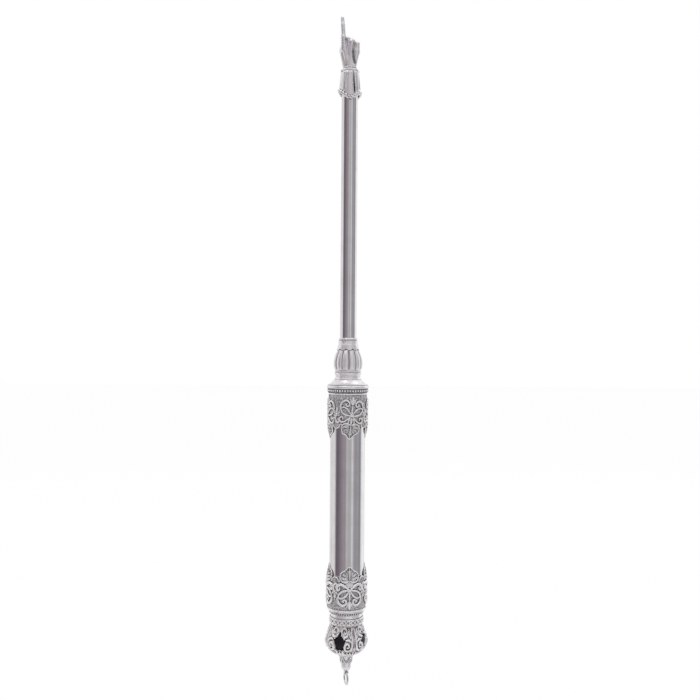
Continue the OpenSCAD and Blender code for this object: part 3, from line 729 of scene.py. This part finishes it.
def collar(name, node, turn, rim, up, lean):
    """Granulated sheet with a scalloped hem and a wire along the hem."""
    nu, nv = 640, 72
    a = full_turn(nu)
    quarter = math.pi / 2
    x = ((a + quarter / 2) % quarter - quarter / 2) * COLLAR_R
    shift = math.tan(lean)
    edge = hem_of_collar(x)
    for _ in range(3):
        edge = np.where(edge < -3.3, hem_of_collar(x - shift * edge * 0.9), edge)
    t = np.linspace(0, 1, nv)[None, :]
    y = KNOT_DROP + (edge[:, None] - KNOT_DROP) * t
    rough = RNG.normal(0, 1, (nu, nv))
    for _ in range(4):
        rough = (rough + np.roll(rough, 1, 0)) * 0.62
    rough = (rough + 0.8 * np.roll(rough, 1, 1)) / rough.std() * 0.75
    r = COLLAR_R - 0.07 + 0.042 * rough - tab_taper(y)
    height = rim + up * (y - KNOT_DROP)
    angle = turn + a[:, None] + 0 * t
    outer = round_place(angle, r, height)
    inner = round_place(angle, np.maximum(COLLAR_R - COLLAR_WALL - tab_taper(y), HANDLE_R + 0.02), height)
    shape = shell(outer, inner)
    sheet = shape.make(name + "_sheet", GRAINED, [node], "granulated_silver")
    edging = Shape()
    line = np.stack([a * COLLAR_R, edge], axis=1)
    dense = []
    for p, q in zip(line, np.roll(line, -1, 0)):
        if q[0] < p[0]:
            q = q + np.array([TAU * COLLAR_R, 0])
        n = max(1, int(np.linalg.norm(q - p) / 0.16))
        dense += [p + (q - p) * k / n for k in range(n)]
    dense = np.array(dense)
    for _ in range(3):
        wide = np.concatenate([dense[-1:] - (TAU * COLLAR_R, 0), dense, dense[:1] + (TAU * COLLAR_R, 0)])
        dense = (wide[:-2] + 2 * wide[1:-1] + wide[2:]) / 4
    around_x, up_y = dense.T
    path = round_place(turn + around_x / COLLAR_R, COLLAR_R + 0.02 - tab_taper(up_y),
                       rim + up * (up_y - KNOT_DROP))
    edging.tube(path, 0.25, 8, True)
    wire = edging.make(name + "_edge", ORNAMENT)
    return sheet, wire


def both(points):
    """A flat line and its mirror image."""
    return [points, mirrored(points)]


def lobed_leaf(wall, shape, side):
    """Half of the heart-shaped palmette: curved leaves that fan from the stem to the scalloped edge."""
    ends = ((3.2, -3.8), (3.7, -5.1), (3.0, -6.5), (1.8, -7.2), (0.85, -8.0))
    for k, (x, y) in enumerate(ends):
        start = (side * 0.22, -4.0 - 0.62 * k)
        middle = (side * 0.56 * x, 0.45 * start[1] + 0.55 * y + 0.42 - 0.05 * k)
        wall.leaf(shape, [start, middle, (side * x, y)], 0.56 - 0.04 * k, 0.8, vein=0.6)


def scroll_pairs(wall, shape, thick=1.0):
    """The two C-scrolls, the two almond loops and the stem with its flower, from the knot to the rim."""
    for line in both([(4.4, 2.6), (4.6, 3.7), (4.0, 5.1), (2.9, 5.85), (1.9, 5.6), (1.3, 4.8), (1.45, 3.9),
                      (2.15, 3.6), (2.6, 4.15), (2.2, 4.6)]):
        wall.wire(shape, line, (0.44 * thick, 0.54 * thick, 0.28))
    for line in both([(4.4, 2.7), (3.4, 3.15), (2.1, 2.7), (1.1, 1.6), (0.3, 0.3)]):
        wall.wire(shape, line, (0.3 * thick, 0.46 * thick, 0.32 * thick))
    for line in both([(4.4, 2.6), (4.1, 1.5), (3.1, 0.5), (1.8, 0.1), (0.4, -0.1)]):
        wall.wire(shape, line, (0.3 * thick, 0.48 * thick, 0.34 * thick))
    wall.leaf(shape, [(0, 4.0), (0, 5.7), (0, 7.7)], 0.72, 0.8)
    for line in both([(0.1, 4.3), (0.75, 5.2), (0.9, 6.1), (1.5, 6.8)]):
        wall.leaf(shape, line, 0.4, 0.6)
    for y, r in ((1.2, 0.56), (1.95, 0.48), (2.6, 0.42), (3.15, 0.38), (3.65, 0.36)):
        shape.ball(wall.at((0, y), COLLAR_R + 0.2), r, 7)
    shape.ball(wall.at((0, 0.1), COLLAR_R + 0.05), 0.74, 8)


def hanging_leaves(wall, shape):
    """The scalloped tab: a border, two round leaves, their stem and the bud at the tip."""
    for line in both([(0.2, -3.7), (1.5, -3.1), (2.9, -3.5), (3.55, -4.7)]):
        wall.wire(shape, line, (0.26, 0.38, 0.22), COLLAR_R + 0.16)
    for side in (-1, 1):
        lobed_leaf(wall, shape, side)
    wall.leaf(shape, [(0, -3.8), (0, -6.4), (0, -9.1)], 0.46, 0.85)


def upper_ornament(wall):
    """One of the four ornaments of the upper collar."""
    shape = Shape()
    scroll_pairs(wall, shape, 0.74)
    for line in both([(0.3, -0.3), (1.3, -1.3), (2.4, -2.3), (3.5, -2.7), (4.5, -2.2), (4.6, -1.2),
                      (3.9, -0.7), (3.3, -1.0), (3.4, -1.6)]):
        wall.wire(shape, line, (0.24, 0.38, 0.22))
    for line in both([(0.1, -0.8), (0.9, -1.6), (1.1, -2.6), (0.75, -3.3)]):
        wall.leaf(shape, line, 0.38, 0.6)
    wall.leaf(shape, [(0, -0.6), (0, -2.2), (0, -3.9)], 0.52, 0.7)
    hanging_leaves(wall, shape)
    return shape


def lower_ornament(wall):
    """One of the four ornaments of the lower collar, with a fan of leaves below its knot."""
    shape = Shape()
    scroll_pairs(wall, shape, 0.9)
    for line in both([(0.3, -0.2), (1.5, -1.5), (3.1, -2.3), (4.5, -1.9), (5.0, -0.8), (4.5, -0.1),
                      (3.9, -0.5), (4.0, -1.1)]):
        wall.wire(shape, line, (0.4, 0.6, 0.3))
    for line in both([(0.5, -0.7), (2.0, -1.6), (3.9, -2.5)]):
        wall.leaf(shape, line, 0.5, 0.72)
    for k in range(-3, 4):
        turn = math.radians(k * 20)
        x, y = 2.7 * math.sin(turn), -0.9 - 3.3 * math.cos(turn)
        line = [(0.2 * math.sin(turn), -0.9), (x * 0.55, -0.9 + (y + 0.9) * 0.55), (x, y)]
        wall.leaf(shape, line, 0.36, 0.66)
    hanging_leaves(wall, shape)
    return shape


def sprig(wall, flip):
    """Small flower between two ornaments: three leaves, a bead and a curled stem."""
    shape = Shape()
    stem = [(0.1, 0.6), (-0.45, -0.5), (-0.35, -1.7), (0.4, -2.5), (1.1, -1.9), (0.85, -1.2), (0.4, -1.4)]
    wall.wire(shape, stem, (0.34, 0.46, 0.26))
    wall.leaf(shape, [(0, 0.9), (0.1, 2.2), (0.0, 3.6)], 0.5, 0.7)
    for line in both([(0.1, 0.8), (0.9, 1.2), (1.35, 2.2 + 0.3 * flip)]):
        wall.leaf(shape, line, 0.42, 0.62)
    for line in both([(0.1, 0.5), (0.9, 0.2), (1.5, 0.6)]):
        wall.leaf(shape, line, 0.36, 0.55)
    wall.leaf(shape, [(-0.4, -1.0), (-1.1, -0.9), (-1.4, -0.2)], 0.32, 0.5)
    shape.ball(wall.at((0.0, 0.7), COLLAR_R + 0.05), 0.5, 7)
    shape.ball(wall.at((0.0, 4.0), COLLAR_R + 0.02), 0.28, 6)
    return shape


def around(name, nodes, build, count, turn, material, **place):
    """Several copies of one ornament around the collar, as one piece."""
    shape = Shape()
    for k in range(count):
        one = build(Wall(turn + TAU * k / count, **place))
        shape.add(np.concatenate(one.verts), one.faces)
    return shape.make(name, material, nodes)


# ---- crown

CROWN_Z = low("crown_band")[2]
CROWN_H = CROWN_Z - low("crown_cage")[2]
CROWN_UNIT = 8.0
BELLY = 0.54 * CROWN_H


def crown_at(d):
    """Outer radius of the crown at a drop below its top."""
    d = np.clip(d, 0, CROWN_H)
    bulge = reach("crown_cage")
    upper = 6.5 + (bulge - 6.5) * (1 - np.cos(math.pi * d / BELLY)) / 2
    lower = 3.4 + (bulge - 3.4) * np.sqrt(np.clip(1 - ((d - BELLY) / (CROWN_H - BELLY)) ** 2, 0, 1))
    return np.where(d < BELLY, upper, lower)


def stroke(u, d, points, width, height):
    """Height over the ground, and distance outside the line, of one rounded stroke."""
    path = curve(points, 5)
    best, near = np.zeros(u.shape), np.full(u.shape, 9.0)
    n = len(path) - 1
    w0, wm, w1 = width
    for k, (p, q) in enumerate(zip(path, path[1:])):
        t = (k + 0.5) / n
        w = w0 + (w1 - w0) * t + (wm - (w0 + w1) / 2) * math.sin(math.pi * t)
        step = q - p
        s = np.clip(((u - p[0]) * step[0] + (d - p[1]) * step[1]) / (step @ step + 1e-9), 0, 1)
        gap = np.hypot(u - p[0] - s * step[0], d - p[1] - s * step[1])
        best = np.maximum(best, height * np.sqrt(np.clip(1 - (gap / w) ** 2, 0, 1)))
        near = np.minimum(near, gap - w)
    return best, near


def outline_distance(x, y, points):
    """Distance to a closed outline, negative inside."""
    near, inside = np.full(x.shape, 99.0), np.zeros(x.shape, bool)
    for (x0, y0), (x1, y1) in zip(points, points[1:] + points[:1]):
        dx, dy = x1 - x0, y1 - y0
        s = np.clip(((x - x0) * dx + (y - y0) * dy) / (dx * dx + dy * dy + 1e-9), 0, 1)
        near = np.minimum(near, np.hypot(x - x0 - s * dx, y - y0 - s * dy))
        crosses = ((y0 > y) != (y1 > y)) & (x < dx * (y - y0) / (dy + 1e-12) + x0)
        inside ^= crosses
    return np.where(inside, -near, near)


# Half of one rib: strokes as (across, drop) points, with start, middle and end widths, and a height
RIB = [
    ([(0.55, 1.1), (0.85, 3.0), (0.8, 5.0), (0.9, 7.0), (1.4, 8.8), (2.5, 9.6), (3.6, 9.1), (3.85, 7.8),
      (3.3, 6.7), (2.5, 6.6), (2.05, 7.4), (2.4, 8.2), (3.0, 8.0)], (0.5, 0.56, 0.36), 1.1),
    ([(0, 0.9), (0, 5.0), (0, 9.4)], (0.24, 0.3, 0.24), 0.7),
    ([(5.2, 2.3), (5.0, 1.3), (4.0, 0.95), (3.1, 1.5), (3.1, 2.5), (3.8, 2.9), (4.2, 2.3)],
     (0.34, 0.48, 0.3), 1.05),
    ([(2.2, 2.2), (2.7, 3.4), (3.5, 4.1), (4.5, 4.35)], (0.42, 0.58, 0.24), 0.95),
    ([(1.4, 4.6), (1.7, 3.4), (1.6, 2.2), (2.1, 1.2)], (0.34, 0.46, 0.3), 0.9),
    ([(1.3, 5.9), (2.1, 5.2), (3.4, 5.2)], (0.36, 0.52, 0.26), 0.95),
    ([(0, 12.1), (0, 11.0), (0, 10.0)], (0.5, 0.5, 0.3), 0.9),
    ([(0.5, 12.1), (1.4, 11.2), (1.6, 10.4)], (0.46, 0.54, 0.3), 0.95),
    ([(1.2, 12.2), (3.0, 11.8), (4.5, 10.9), (4.9, 9.9), (4.2, 9.5)], (0.46, 0.58, 0.3), 1.0),
    ([(2.0, 11.6), (2.8, 10.9), (3.1, 10.4)], (0.4, 0.46, 0.26), 0.8),
    ([(4.2, 11.6), (5.4, 11.1), (6.28, 11.0)], (0.4, 0.5, 0.5), 0.85),
    ([(6.28, 12.3), (6.28, 11.2), (6.28, 10.0)], (0.5, 0.46, 0.3), 0.9),
]
WINDOW = [(6.4, 2.1), (5.75, 3.2), (5.2, 4.2), (4.2, 4.8), (3.0, 5.25), (3.7, 6.0), (4.0, 6.9), (4.1, 8.2),
          (4.45, 9.4), (5.3, 10.1), (5.85, 9.5), (6.4, 9.3)]
WINDOW_BEADS = ((4.1, 4.85), (5.3, 3.6), (4.55, 9.75))


def crown():
    """Openwork crown: four leafy ribs with volutes, closed above and below its windows."""
    quarter = 112
    step = np.array([math.pi / 2 * CROWN_UNIT / quarter, 0.115, 0.115])
    u1 = (np.arange(quarter) - quarter / 2) * step[0]
    d1 = np.arange(-0.3, CROWN_H + 0.3, step[1])
    w1 = np.arange(-1.5, 0.75, step[2])
    u, d = np.meshgrid(np.abs(u1), d1, indexing="ij")
    ground, solid = np.zeros(u.shape), -outline_distance(u, d, WINDOW)
    for points, width, height in RIB:
        rise, near = stroke(u, d, points, width, height)
        ground, solid = np.maximum(ground, rise), np.minimum(solid, near)
    ground = np.maximum(ground, 0.7 * np.exp(-((d - 0.35) / 0.35) ** 4))
    top = -0.92 + ground
    w = w1[None, None, :]
    field = np.maximum(np.maximum(w - top[..., None], -1.25 - w), solid[..., None])
    field = np.maximum(field, np.maximum(-0.02 - d, d - CROWN_H + 0.05)[..., None])
    field = np.concatenate([field] * 4)
    field = np.concatenate([field, field[:1]])
    verts, faces = surface_of(field, (u1[0], d1[0], w1[0]), step, wrap=True)
    angle = CROWN_TURN + verts[:, 0] / CROWN_UNIT
    radius = crown_at(verts[:, 1]) + verts[:, 2]
    shape = Shape().add(round_place(angle, radius, CROWN_Z - verts[:, 1]), faces)
    for k in range(4):
        for side in (-1, 1):
            for u, d in WINDOW_BEADS:
                spot = round_place(np.array(CROWN_TURN + TAU * k / 4 + side * u / CROWN_UNIT),
                                   crown_at(np.array(d)) - 0.62, CROWN_Z - d)
                shape.ball(spot, 0.34, 6)
    piece = shape.make("crown", CAST, ["crown_cage"])
    smooth(piece, 0.5, 3)
    return piece


def frieze():
    """Small scrolls and lozenges in the field of the band."""
    shape = Shape()
    z = (low("band_frieze")[2] + high("band_frieze")[2]) / 2
    ground = reach("crown_band") - 0.3
    count = 12
    for k in range(count):
        wall = Wall(TAU * k / count, z, radius=ground)
        for s in (-1, 1):
            above = [(s * 0.15, 0.1), (s * 0.6, 0.68), (s * 1.3, 0.6), (s * 1.5, 0.0), (s * 1.0, -0.1)]
            below = [(s * 0.15, -0.1), (s * 0.5, -0.66), (s * 1.15, -0.66), (s * 1.8, -0.15)]
            wall.wire(shape, above, (0.26, 0.36, 0.22), ground + 0.08, 4)
            wall.wire(shape, below, (0.24, 0.32, 0.2), ground + 0.08, 4)
        shape.ball(wall.at((0, 0), ground + 0.1), 0.46, 6)
    Shape().lathe([(ground - 0.35, z - 0.75), (ground - 0.05, z - 0.75), (ground - 0.05, z + 0.75),
                   (ground - 0.35, z + 0.75)], 96) \
        .make("band_field", GRAINED, ["band_frieze"])
    return shape.make("band_scrolls", CAST)


# ---- finial

def finial_leaves():
    """Cup of five leaves with raised rims, and a curl between each two."""
    z0, z1 = high("finial_leaves")[2], low("finial_leaves")[2]
    leaves = 5
    a = full_turn(leaves * 24)[:, None]
    t = np.linspace(0, 1, 26)[None, :]
    ridge = np.abs(np.cos(leaves * (a - 0.05) / 2))
    r = 2.05 + 0.50 * np.exp(-(t / 0.42) ** 2) + 0.12 * ridge * np.sin(math.pi * t) - 0.16 * (1 - ridge) ** 2
    z = z0 + (z1 - z0 - 0.15 * ridge + 0.35 * (1 - ridge)) * t
    outer = round_place(a + 0 * t, r, z)
    inner = round_place(a + 0 * t, np.minimum(r - 0.30, 2.1), z)
    shape = shell(outer, inner)
    for k in range(leaves):
        middle = 0.05 + TAU * k / leaves
        for s in (-1, 1):
            turn = middle + s * np.array([0.58, 0.50, 0.38, 0.20, 0.0])
            out = np.array([2.72, 2.50, 2.34, 2.28, 2.26])
            drop = z0 - np.array([0.15, 0.90, 1.70, 2.35, 2.62])
            shape.tube(curve(round_place(turn, out, drop), 4), swell(17, 0.22, 0.24, 0.16), 8)
            turn = middle + s * np.array([0.30, 0.26, 0.12, 0.0])
            out = np.array([2.6, 2.42, 2.34, 2.32])
            drop = z0 - np.array([0.3, 0.9, 1.5, 1.7])
            shape.tube(curve(round_place(turn, out, drop), 4), swell(13, 0.14, 0.16, 0.1), 7)
        gap = middle + math.pi / leaves
        shape.ball(round_place(np.array(gap), 2.62, z0 - 0.45), 0.42, 8, (1, 1, 1.1))
        shape.ball(round_place(np.array(gap), 2.12, z0 - 1.9), 0.28, 7, (1, 1, 1.5))
    ring = full_turn(64)
    shape.tube(round_place(ring, 2.62, z0 - 0.06), 0.2, 10, True)
    shape.tube(round_place(ring, 2.02, z1 + 0.1), 0.18, 10, True)
    return shape.make("leaves", CAST, ["finial_leaves"])


# ---- carried-over nodes

CARRIED = (
    (POLISHED, "polished_silver", ("shaft_tube", "hanging_ring")),
    (TUBE, "polished_silver", ("handle_tube",)),
    (SATIN, "polished_silver", ("shaft_foot_ring", "upper_rim")),
    (CAST, "cast_silver", ("upper_thin_ring", "lower_rim", "crown_band", "finial_cup", "finial_acorn")),
    (DARK, "dark_core", ("crown_core",)),
    (BRASS, "inner_brass", ("shaft_bush", "shaft_ferrule", "upper_end_disc", "lower_end_disc", "tie_rod",
                            "rod_nuts", "rod_washers")),
)


def dress_nodes():
    """Gives the CAD nodes that stay visible their material, smooth shading and sharp edges by angle."""
    for material, slot, names in CARRIED:
        for node in (bpy.data.objects[name] for name in names):
            node.data.materials.clear()
            node.data.materials.append(material)
            node.data.shade_smooth()
            node.data.set_sharp_from_angle(angle=math.radians(28))


# ---- stage, light and camera

# Compass direction in degrees, and display colour from 0 to 255. Most of these colours are pixel values
# typed in from the photograph's handle tube, so they are photo data. report.md says so under "Photo data".
BACKDROP = [
    (-180, (226, 226, 228)), (-168, (176, 174, 178)), (-158, (222, 222, 224)), (-136, (212, 212, 214)),
    (-124, (198, 198, 201)), (-114, (212, 212, 214)), (-90, (209, 208, 210)), (-83, (156, 150, 156)),
    (-78, (98, 91, 99)), (-68, (95, 88, 96)), (-52, (112, 105, 113)), (-36, (131, 124, 132)),
    (-18, (146, 138, 147)), (-11, (130, 123, 131)), (-5, (181, 180, 182)), (6, (168, 167, 170)),
    (20, (163, 162, 166)), (27, (168, 167, 170)), (31, (206, 206, 208)), (36, (200, 200, 202)),
    (44, (152, 151, 157)), (58, (139, 138, 144)), (72, (152, 151, 157)), (84, (140, 139, 146)),
    (92, (124, 123, 130)), (98, (132, 131, 138)), (106, (216, 216, 218)), (128, (232, 232, 234)),
    (150, (234, 234, 235)), (162, (186, 184, 189)), (172, (224, 224, 226)), (180, (226, 226, 228)),
]


def world():
    """Light and dark walls by compass direction, a light ceiling, and white for camera rays only."""
    place = bpy.data.worlds.new("studio")
    bpy.context.scene.world = place
    place.use_nodes = True
    n = Nodes(place.node_tree)
    axis = n.add("SeparateXYZ", Vector=n.add("TexCoord").outputs["Generated"])
    x, y, z = (axis.outputs[i] for i in range(3))
    angle = n.maths("ARCTAN2", x, n.maths("MULTIPLY", y, -1.0))
    turn = n.maths("MULTIPLY_ADD", angle, 1 / TAU, 0.5)
    gain = 1 / 0.87
    stops = [((a + 180) / 360, tuple(min(1.0, c * gain) for c in tone(*grey))) for a, grey in BACKDROP]
    walls = n.ramp(turn, stops)
    above = n.ramp(z, [(0.52, 0.0), (0.86, 1.0)], "EASE")
    below = n.ramp(n.maths("MULTIPLY", z, -1.0), [(0.30, 0.0), (0.75, 1.0)], "EASE")
    room = n.mix(above, walls, (0.66, 0.66, 0.67, 1))
    room = n.mix(below, room, (0.68, 0.67, 0.69, 1))
    seen = n.add("LightPath").outputs["Is Camera Ray"]
    light = n.add("Background", Color=room, Strength=1.0)
    white = n.add("Background", Color=(1, 1, 1, 1), Strength=1.0)
    both_of = n.add("MixShader", i0=seen, i1=light.outputs[0], i2=white.outputs[0])
    n.add("OutputWorld", Surface=both_of.outputs[0])


def floor():
    """Pale floor that shows nearly white and keeps the object's shadow."""
    mesh = bpy.data.meshes.new("floor")
    mesh.from_pydata([(-3, -3, 0), (3, -3, 0), (3, 3, 0), (-3, 3, 0)], [], [(0, 1, 2, 3)])
    ground = bpy.data.objects.new("floor", mesh)
    bpy.context.scene.collection.objects.link(ground)
    ground.location = (0, 0, CAD_BOX[0][2] - 0.0006)
    ground.visible_glossy = False
    material = bpy.data.materials.new("floor")
    material.use_nodes = True
    n = Nodes(material.node_tree)
    matt = n.add("BsdfDiffuse", Color=(0.86, 0.86, 0.86, 1))
    white = n.add("Emission", Color=(1, 1, 1, 1), Strength=1.0)
    camera_ray = n.add("LightPath").outputs["Is Camera Ray"]
    seen = n.maths("MULTIPLY", camera_ray, 0.97)
    mixed = n.add("MixShader", i0=seen, i1=matt.outputs[0], i2=white.outputs[0])
    n.add("OutputMaterial", Surface=mixed.outputs[0])
    mesh.materials.append(material)


def lamp(name, place, aim, size, radiance, mirrored_in_metal=True):
    """Square area lamp. Without mirrored_in_metal, glossy rays don't see it."""
    data = bpy.data.lights.new(name, "AREA")
    data.shape, data.size = "SQUARE", size
    data.energy = radiance * math.pi * size ** 2
    light = bpy.data.objects.new(name, data)
    bpy.context.scene.collection.objects.link(light)
    light.location = place
    light.visible_glossy = mirrored_in_metal
    light.rotation_euler = (Vector(aim) - Vector(place)).to_track_quat("-Z", "Y").to_euler()


def camera():
    """Level camera 356 mm in front of the axis, rolled a little as the photograph is."""
    data = bpy.data.cameras.new("camera")
    data.sensor_width, data.lens = 36, 18 / (350 / 890)
    data.clip_start = 0.01
    view = bpy.data.objects.new("camera", data)
    bpy.context.scene.collection.objects.link(view)
    level, roll = math.radians(90), math.radians(0.376)
    view.matrix_world = Matrix.Translation((0.00076, -0.356, 0.060)) \
        @ Matrix.Rotation(level, 4, "X") @ Matrix.Rotation(roll, 4, "Z")
    bpy.context.scene.camera = view


# ---- build

pointing_hand()
ruffle("upper_frill", high("upper_frill")[2] - 1.0, high("upper_frill")[2] + 0.1, 2.75, 9, 0.20, 0.1)
ruffle("lower_frill", low("lower_frill")[2] - 0.35, high("lower_frill")[2] + 0.05, 3.66, 11, 0.24, 0.4)
sleeve_cuff()
hem_rope()
calyx()
bulb()
neck()
cap()
bead_ring("upper_beads", "upper_bead_ring", 48, reach("upper_bead_ring") + 0.02, 0.84)
bead_ring("lower_beads", "lower_bead_ring", 45, reach("lower_bead_ring") + 0.14, 0.72)
collar("upper", "upper_collar", UPPER_TURN, RIM_TOP, 1, UPPER_LEAN)
collar("lower", "lower_collar", LOWER_TURN, RIM_LOW, -1, 0)
UPPER = {"z": RIM_TOP - KNOT_DROP, "up": 1, "lean": UPPER_LEAN}
LOWER = {"z": RIM_LOW + KNOT_DROP, "up": -1}
around("upper_scrolls", ["upper_ornaments"], upper_ornament, 4, UPPER_TURN, UPPER_WORK, **UPPER)
around("lower_scrolls", ["lower_ornaments"], lower_ornament, 4, LOWER_TURN, ORNAMENT, **LOWER)
around("upper_sprays", ["upper_sprigs"], lambda w: sprig(w, 1), 4, UPPER_TURN + math.pi / 4, UPPER_WORK,
       z=RIM_TOP - KNOT_DROP, up=1)
around("lower_sprays", ["lower_sprigs"], lambda w: sprig(w, -1), 4, LOWER_TURN + math.pi / 4, ORNAMENT,
       **LOWER)
crown()
frieze()
finial_leaves()
dress_nodes()

world()
floor()
lamp("key", (-0.20, -0.24, 0.78), (0, 0, 0.02), 0.36, 1.05)
lamp("fill", (0.30, 0.16, 0.74), (0, 0, 0.02), 0.36, 0.85)
WASHES = (("wash_left", (-0.46, -0.40, 0.34), 4.6), ("wash_right", (0.50, -0.30, 0.24), 2.0),
          ("wash_back", (0.36, 0.50, 0.36), 3.4), ("wash_back_left", (-0.48, 0.40, 0.26), 2.0))
for name, place, radiance in WASHES:
    lamp(name, place, (0, 0, 0.06), 0.34, radiance, mirrored_in_metal=False)
camera()
bpy.context.scene.view_settings.view_transform = "Standard"
